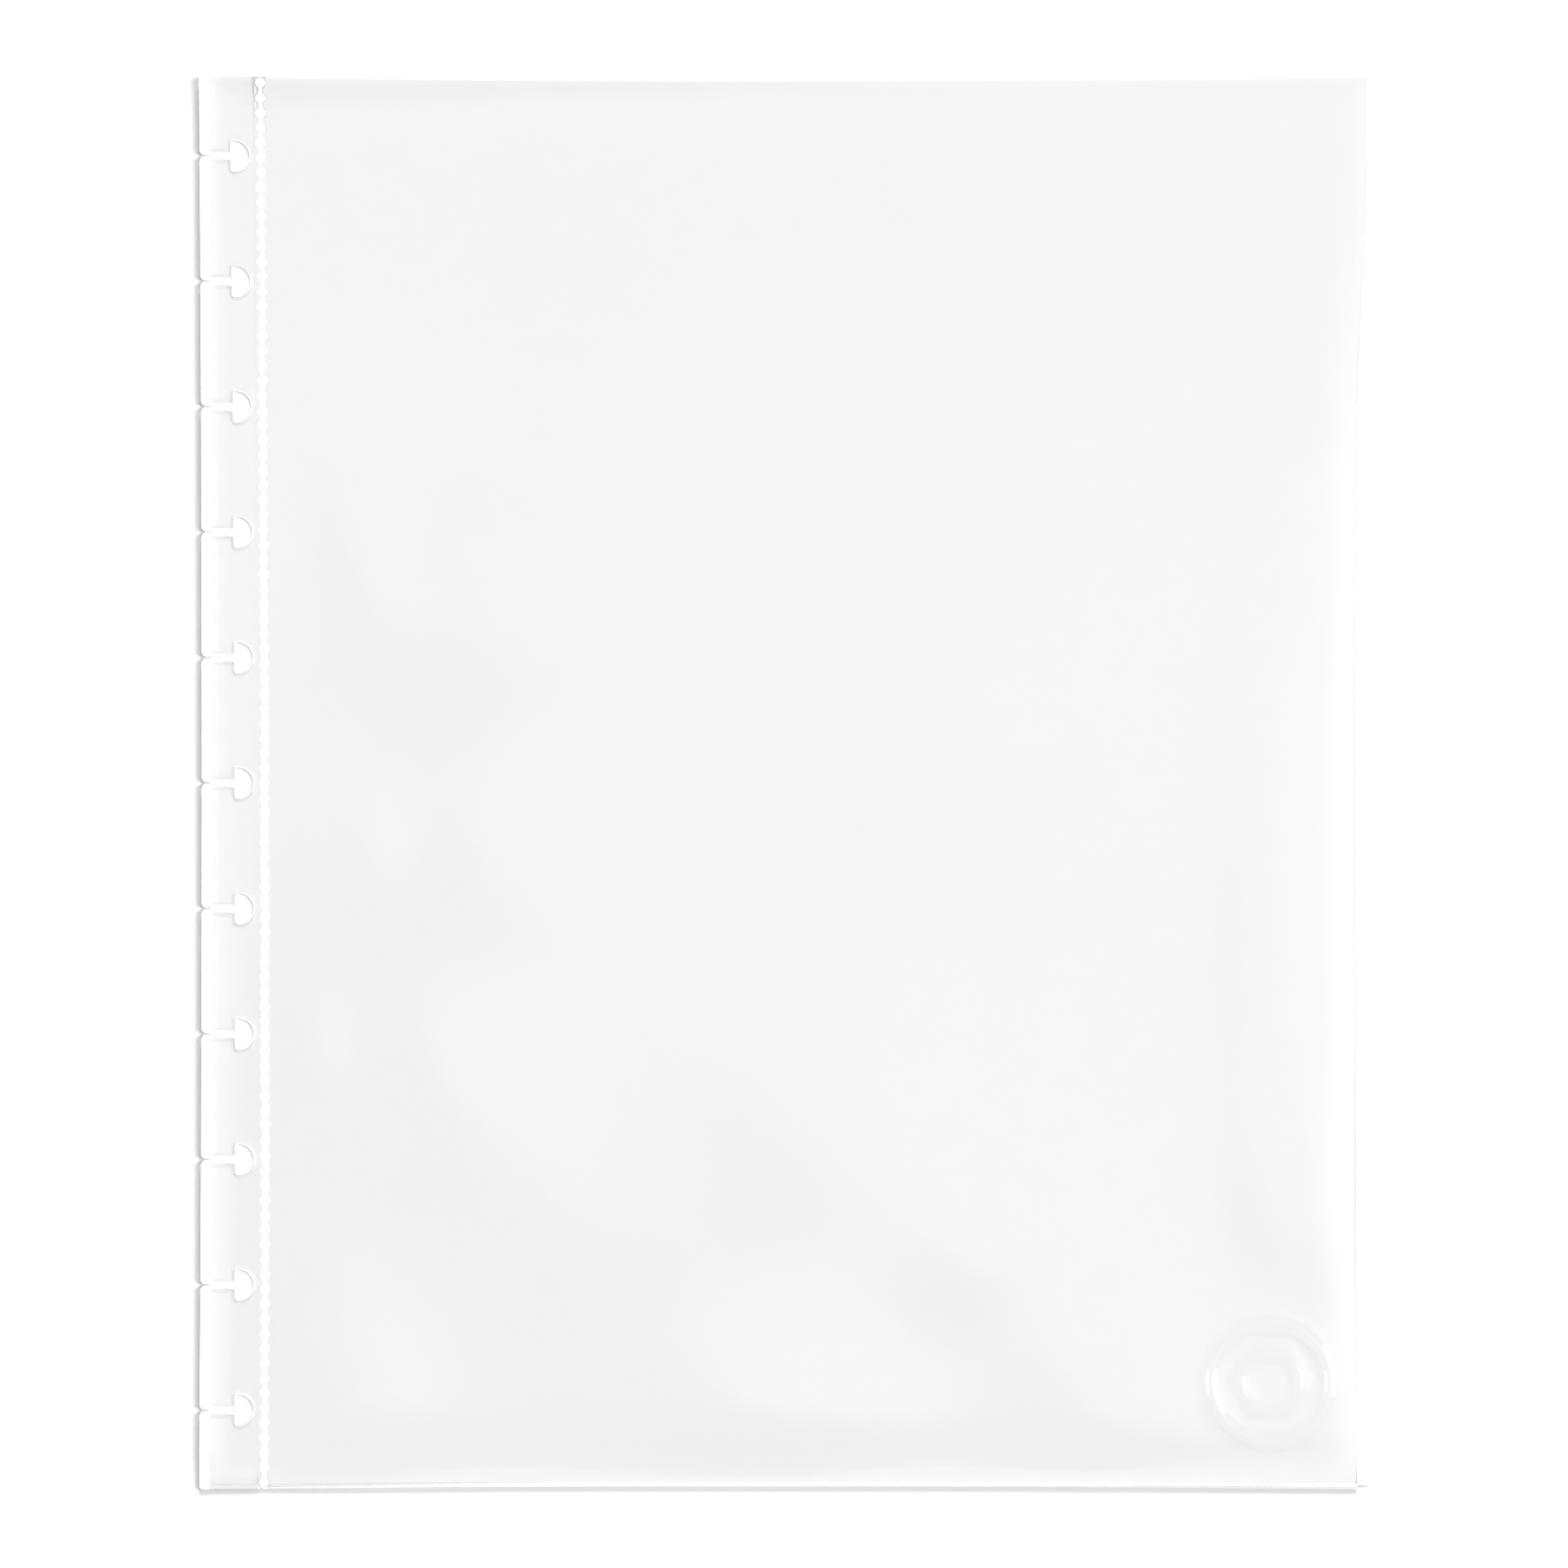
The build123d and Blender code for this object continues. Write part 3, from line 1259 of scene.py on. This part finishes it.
@dataclass
class Pocket:
    """The back film of the pocket and the welds along its outer edge and its bottom."""

    lines: SheetLines
    lie: SheetLie
    clear: FilmFinish
    welded: FilmFinish
    spacing: float = 3.6
    weld_step: float = 0.35
    run_step: float = 1.2
    edge_fall: float = 0.6
    clearing: tuple[float, float] = (60.0, 130.0)
    lip_height: float = 0.45
    lip_blend: float = 0.05
    lip_share: float = 0.65
    bottom_rows: int = 14
    line_start: tuple[float, float] = (0.08, 0.45)
    line_width: tuple[float, float] = (0.3, 0.85)
    line_growth: float = 60.0

    def back_film(self) -> bpy.types.Object:
        """The back film.

        Returns:
            The piece.
        """
        lines = self.lines
        left, right, bottom, top = lines.seam_end, lines.outer_weld_start, lines.pocket_bottom, lines.top_edge
        stock = MeshStock(self.lie, joins_at((left, right), (bottom,)))
        stock.add_strip(
            spaced(left, right, self.spacing),
            spaced(bottom, top, self.spacing),
            self.lie.back,
            lambda x, y: self.lie.back(x, y) + lines.film,
            evenly(0.0),
        )
        piece = stock.piece("pocket_back_sheet", self.clear.material())
        settle(piece, Body.POCKET, "pocket_back_film", self.clear)
        return piece

    def outer_weld(self) -> bpy.types.Object:
        """The weld down the outer edge, cut short at the bottom corner.

        Returns:
            The piece.
        """
        lines = self.lines
        x = np.arange(lines.outer_weld_start, lines.outer_edge + self.weld_step / 2, self.weld_step)
        y = spaced(lines.outer_weld_bottom, lines.top_edge, self.run_step)

        def upper(x: Array, y: Array) -> Array:
            """Height of the upper skin, rounded off at the outer edge."""
            fall = self.edge_fall * lines.thickness * smooth(x, lines.outer_weld_start, lines.outer_edge)
            return self.lie.back(x, y) + lines.thickness - fall

        def white(x: Array, y: Array) -> Array:
            """White of the weld: fused white, and partly a painted reflection of the bent outer edge; it
            narrows and ends towards the top.
            """
            start = between(lines.outer_weld_start, lines.outer_edge, smooth(y, *self.clearing))
            return np.clip(0.5 + (x - start) / self.weld_step, 0.0, 1.0)

        # The weld's white is partly a painted reflection of the bent outer edge
        stock = MeshStock(self.lie, joins_at((lines.outer_weld_start,)), Skin.LOWER)
        stock.add_strip(np.clip(x, None, lines.outer_edge), y, self.lie.back, upper, white)
        piece = stock.piece("outer_edge_band", self.welded.material())
        return settle(piece, Body.POCKET, "outer_edge_weld", self.welded)

    def bottom_working(self, x: Array, y: Array) -> Array:
        """Working of the bottom strip: pressed, with a white line that widens, then rises to the right.

        Args:
            x: Places across the sheet.
            y: Places along the sheet.

        Returns:
            The working at each place, 1 on the white line and -1 beside it.
        """
        lines = self.lines
        height = y - lines.bottom_edge
        risen = smooth(x, lines.pocket_middle, lines.outer_weld_start)
        grown = smooth(x, lines.seam_end, lines.seam_end + self.line_growth)
        start = between(*self.line_start, risen)
        end = start + between(*self.line_width, grown)
        return np.where((height > start) & (height < end), 1.0, -1.0)

    def bottom_weld(self) -> bpy.types.Object:
        """The weld along the bottom, with a thin lip of film left below it.

        Returns:
            The piece.
        """
        lines = self.lines
        left, right = lines.seam_end, lines.outer_weld_start
        x = spaced(left, right, self.run_step)
        weld_start = lines.bottom_edge + self.lip_height
        rows = np.linspace(lines.bottom_edge, lines.pocket_bottom, self.bottom_rows)
        y = np.unique(np.concatenate([rows, [weld_start - self.lip_blend, weld_start]]))

        def upper(x: Array, y: Array) -> Array:
            """Height of the upper skin, a little lower on the lip."""
            rise = between(self.lip_share, 1.0, smooth(y, weld_start - self.lip_blend, weld_start))
            return self.lie.back(x, y) + lines.film + (lines.thickness - lines.film) * rise

        stock = MeshStock(self.lie, joins_at((left, right), (lines.pocket_bottom,)))
        stock.add_strip(x, y, self.lie.back, upper, self.bottom_working)
        piece = stock.piece("bottom_weld_band", self.welded.material())
        return settle(piece, Body.POCKET, "bottom_weld", self.welded)

    def build(self) -> list[bpy.types.Object]:
        """Builds the pocket's fixed pieces.

        Returns:
            Its pieces.
        """
        return [self.back_film(), self.outer_weld(), self.bottom_weld()]


@dataclass
class FrontPanel:
    """The front film: free at the mouth, with rings pressed into it, in two halves."""

    lines: SheetLines
    lie: SheetLie
    clear: FilmFinish
    spacing: float = 3.2
    mouth_step: float = 0.3
    mouth_dip: float = 0.7
    rings_from_outer_edge: float = 19.5
    rings_from_bottom: float = 21.7
    rings: tuple[PressedRing, ...] = (
        PressedRing(radius=13.6, width=3.0, rise=0.4),
        PressedRing(radius=6.9, width=1.9, rise=0.24),
    )
    ring_step: float = 0.3
    ring_margin: float = 0.5
    ring_sides: int = 96

    @property
    def ring_centre(self) -> tuple[float, float]:
        """Middle of the pressed rings."""
        lines = self.lines
        return lines.outer_edge - self.rings_from_outer_edge, lines.bottom_edge + self.rings_from_bottom

    def mouth(self, x: Array) -> Array:
        """Top edge of the film, which dips in the middle.

        Args:
            x: Places across the sheet.

        Returns:
            The edge's place along the sheet at each of them.
        """
        lines = self.lines
        half = (lines.outer_weld_start - lines.seam_end) / 2
        share = (x - lines.pocket_middle) / half
        return lines.top_edge - self.mouth_step - self.mouth_dip * (1.0 - share**2)

    def pressed(self, x: Array, y: Array) -> Array:
        """Height of the pressed rings above the film."""
        distance = np.hypot(x - self.ring_centre[0], y - self.ring_centre[1])
        return sum(ring.height(distance) for ring in self.rings)

    def ring_points(self) -> Array:
        """Points on circles, close together across each pressed ring.

        Returns:
            The points, one row each.
        """
        circles = []
        for ring in self.rings:
            inner, outer = ring.radius - ring.width, ring.radius + self.ring_step / 2
            for radius in np.arange(inner, outer, self.ring_step):
                circles.append(arc(self.ring_centre, radius, 0, 360, self.ring_sides)[:-1])
        return np.concatenate(circles)

    def half(self, side: Side) -> bpy.types.Object:
        """One half of the film, from its welded side to the middle of the pocket.

        Args:
            side: Which half.

        Returns:
            The piece.
        """
        lines = self.lines
        welded = lines.seam_end if side is Side.LEFT else lines.outer_weld_start
        left, right = sorted((welded, lines.pocket_middle))
        columns = spaced(left, right, self.spacing)[::-1]
        bottom = lines.pocket_bottom
        top = np.column_stack([columns, self.mouth(columns)])
        outline = along((left, bottom), (right, bottom), self.spacing)
        outline += along((right, bottom), top[0], self.spacing)
        outline += map(tuple, top[:-1])
        outline += along(top[-1], (left, bottom), self.spacing)
        outline = np.array(outline)
        loose = grid(left, bottom, right, lines.top_edge, self.spacing)
        loose = clear_of(loose[inside(loose, outline)], outline, self.spacing / 2)
        if side is Side.RIGHT:
            away = np.hypot(loose[:, 0] - self.ring_centre[0], loose[:, 1] - self.ring_centre[1])
            for ring in self.rings:
                inner, outer = ring.radius - ring.width - self.ring_margin, ring.radius + self.ring_margin
                kept = (away <= inner) | (away >= outer)
                loose, away = loose[kept], away[kept]
            loose = np.concatenate([loose, self.ring_points()])

        def lower(x: Array, y: Array) -> Array:
            """Height of the underside."""
            return self.lie.back(x, y) + lines.front_level + self.lie.front(x, y) + self.pressed(x, y)

        stock = MeshStock(self.lie, joins_at((left, right), (bottom,)))
        stock.add_outline(outline, loose, lower, lambda x, y: lower(x, y) + lines.film, evenly(0.0))
        piece = stock.piece(f"pocket_front_sheet_{side.value}", self.clear.material())
        level = lines.front_level * MM
        start, end = (welded * MM, 0.0, level), (lines.pocket_middle * MM, 0.0, level)
        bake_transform(piece)
        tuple(start)
        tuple(end)
        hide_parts("pocket_front_film")
        return piece

    def build(self) -> list[bpy.types.Object]:
        """Builds both halves.

        Returns:
            Its pieces.
        """
        return [self.half(side) for side in Side]


@dataclass(frozen=True)
class Lamp:
    """A broad soft lamp far away."""

    name: str
    strength: float
    bearing: float
    elevation: float
    spread: float

    def build(self) -> bpy.types.Object:
        """Puts the lamp in the scene.

        Returns:
            The lamp.
        """
        data = bpy.data.lights.new(self.name, "SUN")
        data.energy = self.strength
        data.angle = math.radians(self.spread)
        lamp = put_in_scene(self.name, data)
        bearing, elevation = math.radians(self.bearing), math.radians(self.elevation)
        flat = math.cos(elevation)
        toward = Vector((flat * math.cos(bearing), flat * math.sin(bearing), math.sin(elevation)))
        lamp.rotation_euler = toward.to_track_quat("Z", "Y").to_euler()
        return lamp


@dataclass
class Studio:
    """Pale floor, soft lamps, a plain sky to mirror and the camera straight above the sheet."""

    image_pixels: float = 1800.0
    pixels_per_mm: float = 5.669
    sheet_middle: tuple[float, float] = (899.3, 898.8)
    camera_height: float = 2400.0
    sensor: float = 36.0
    floor_size: float = 12000.0
    floor_drop: float = 0.03
    floor_white: float = 0.788
    see_through_steps: int = 48
    lamps: tuple[Lamp, ...] = (
        Lamp("key_lamp", strength=2.4, bearing=6.0, elevation=46.0, spread=30.0),
        Lamp("fill_lamp", strength=0.3, bearing=186.0, elevation=48.0, spread=18.0),
        Lamp("back_lamp", strength=2.5, bearing=84.0, elevation=37.0, spread=24.0),
    )
    sky_across: tuple[tuple[float, float], ...] = (
        (-1.0, 0.60),
        (-0.45, 0.55),
        (-0.2, 0.42),
        (-0.05, 0.47),
        (0.05, 0.58),
        (0.1, 0.74),
        (0.2, 1.2),
        (0.6, 1.4),
        (1.0, 0.75),
    )
    sky_along: tuple[tuple[float, float], ...] = (
        (-1.0, 0.2),
        (-0.2, 0.2),
        (-0.085, 0.6),
        (-0.058, 1.0),
        (0.03, 1.0),
        (0.07, 0.78),
        (0.2, 0.2),
        (1.0, 0.2),
    )
    sky_slant: tuple[tuple[float, float], ...] = (
        (-1.0, 0.9),
        (-0.3, 0.9),
        (-0.12, 0.28),
        (-0.05, 0.28),
        (-0.022, 1.0),
        (1.0, 1.0),
    )
    sky_edge: float = 0.55
    sky_low: tuple[float, float] = (0.4, 0.05)

    def floor(self) -> None:
        """Puts the floor just under the sheet."""
        half = self.floor_size / 2 * MM
        level = -self.floor_drop * MM
        mesh = bpy.data.meshes.new("floor")
        corners = [(-half, -half, level), (half, -half, level), (half, half, level), (-half, half, level)]
        mesh.from_pydata(corners, [], [(0, 1, 2, 3)])
        material = bpy.data.materials.new("pale_floor")
        nodes = NodeSheet(material)
        paint = nodes.add("ShaderNodeBsdfDiffuse", Color=(self.floor_white,) * 3 + (1.0,))
        nodes.add("ShaderNodeOutputMaterial", Surface=paint.outputs[0])
        mesh.materials.append(material)
        made = put_in_scene("floor", mesh)
        made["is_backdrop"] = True

    def sky(self) -> None:
        """Makes the sky to mirror, with one bright side, a dark slanting band and a pale horizon."""
        world = bpy.data.worlds.new("studio_sky")
        nodes = NodeSheet(world)
        way = nodes.add("ShaderNodeTexCoord").outputs["Generated"]
        split = nodes.add("ShaderNodeSeparateXYZ", Vector=way).outputs
        slant = nodes.maths("MULTIPLY", nodes.maths("ADD", split["X"], split["Y"]), math.sqrt(0.5))
        bands = ((split["X"], self.sky_across), (split["Y"], self.sky_along), (slant, self.sky_slant))
        overhead = 1.0
        for direction, stops in bands:
            share = nodes.maths("MULTIPLY_ADD", direction, 0.5, 0.5)
            band = nodes.ramp(share, [((side + 1.0) / 2.0, (value,) * 3) for side, value in stops])
            overhead = nodes.maths("MULTIPLY", band, overhead)
        low = nodes.spread(split["Z"], self.sky_low, (0.0, 1.0))
        lift = nodes.maths("MULTIPLY", nodes.maths("SUBTRACT", self.sky_edge, overhead), low)
        light = nodes.add("ShaderNodeBackground", Color=WHITE, Strength=nodes.maths("ADD", overhead, lift))
        nodes.add("ShaderNodeOutputWorld", Surface=light.outputs[0])
        bpy.context.scene.world = world

    def camera(self) -> None:
        """Sets the camera straight above the sheet, framed as the photograph is."""
        view_width = self.image_pixels / self.pixels_per_mm
        data = bpy.data.cameras.new("camera")
        data.sensor_width = self.sensor
        data.lens = self.sensor * self.camera_height / view_width
        made = put_in_scene("camera", data)
        middle = self.image_pixels / 2
        aside = (middle - self.sheet_middle[0]) / self.pixels_per_mm
        below = (middle - self.sheet_middle[1]) / self.pixels_per_mm
        made.location = (aside * MM, -below * MM, self.camera_height * MM)
        bpy.context.scene.camera = made

    def build(self) -> None:
        """Builds the studio round the sheet."""
        scene = bpy.context.scene
        scene.view_settings.view_transform = "Standard"
        scene.cycles.transparent_max_bounces = self.see_through_steps
        self.floor()
        self.sky()
        for lamp in self.lamps:
            lamp.build()
        self.camera()


def write_sizes() -> None:
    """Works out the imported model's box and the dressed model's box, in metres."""
    boxes = {"cad": cad_box, "visual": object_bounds()}
    plain = {name: [list(corner) for corner in box] for name, box in boxes.items()}


def main() -> None:
    """Builds the sheet and the studio round it."""
    logging.basicConfig(level=logging.INFO, format="%(name)s: %(message)s")
    lines = SheetLines.from_frame()
    lie = SheetLie(lines)
    clear = FilmFinish(
        name="clear_film",
        slot=Slot.CLEAR,
        tint=(0.994, 0.994, 0.994),
        cool_tint=(0.9938, 0.9941, 0.9941),
        gloss=(0.03, 0.07),
        white=(0.96, 0.965, 0.965),
        shade=(0.92, 0.925, 0.925),
        grey=(0.6, 0.6, 0.595),
    )
    welded = WeldFinish(
        name="welded_film",
        slot=Slot.WELDED,
        tint=(0.98, 0.98, 0.98),
        cool_tint=(0.979, 0.98, 0.98),
        gloss=(0.1, 0.22),
        white=(0.92, 0.92, 0.915),
        shade=(0.895, 0.895, 0.88),
        grey=(0.6, 0.6, 0.595),
    )
    beaded = replace(welded, name="beaded_film", grey=(0.75, 0.75, 0.745))
    assemblies = (
        BindingMargin(lines, lie, clear, welded),
        BeadedSeam(lines, lie, beaded),
        Pocket(lines, lie, clear, welded),
        FrontPanel(lines, lie, clear),
    )
    for assembly in assemblies:
        for piece in assembly.build():
            log.info("%s: %s has %d faces", type(assembly).__name__, piece.name, len(piece.data.polygons))
    Studio().build()
    write_sizes()


if __name__ == "__main__":
    main()
